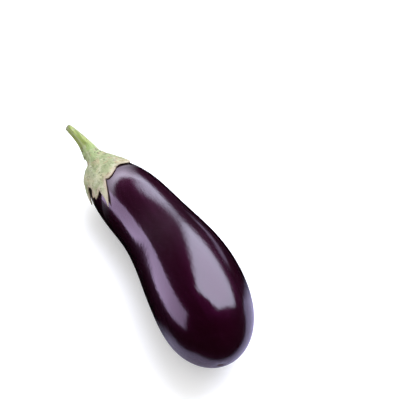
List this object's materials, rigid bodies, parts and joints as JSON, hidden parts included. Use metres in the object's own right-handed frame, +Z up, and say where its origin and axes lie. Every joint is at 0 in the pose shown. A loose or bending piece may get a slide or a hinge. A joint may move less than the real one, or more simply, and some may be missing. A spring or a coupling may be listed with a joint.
{
  "type": "eggplant",
  "caption": "Whole fresh eggplant lying on its side: glossy dark purple pear-shaped bent fruit with a pale green lobed calyx and a cut stem.",
  "frame": {"origin": "on the surface it lies on, under the middle of its box", "axes": "+X from the stem end to the blossom end, +Y towards the outside of the fruit's bend, +Z up from the surface it lies on"},
  "size_m": [0.2522, 0.0782, 0.0762],
  "materials": {
    "skin": "gloss",
    "calyx": "matte",
    "stem": "satin"
  },
  "bodies": {
    "root": {"fruit": "skin", "calyx": "calyx", "stem": "stem"}
  },
  "joints": []
}
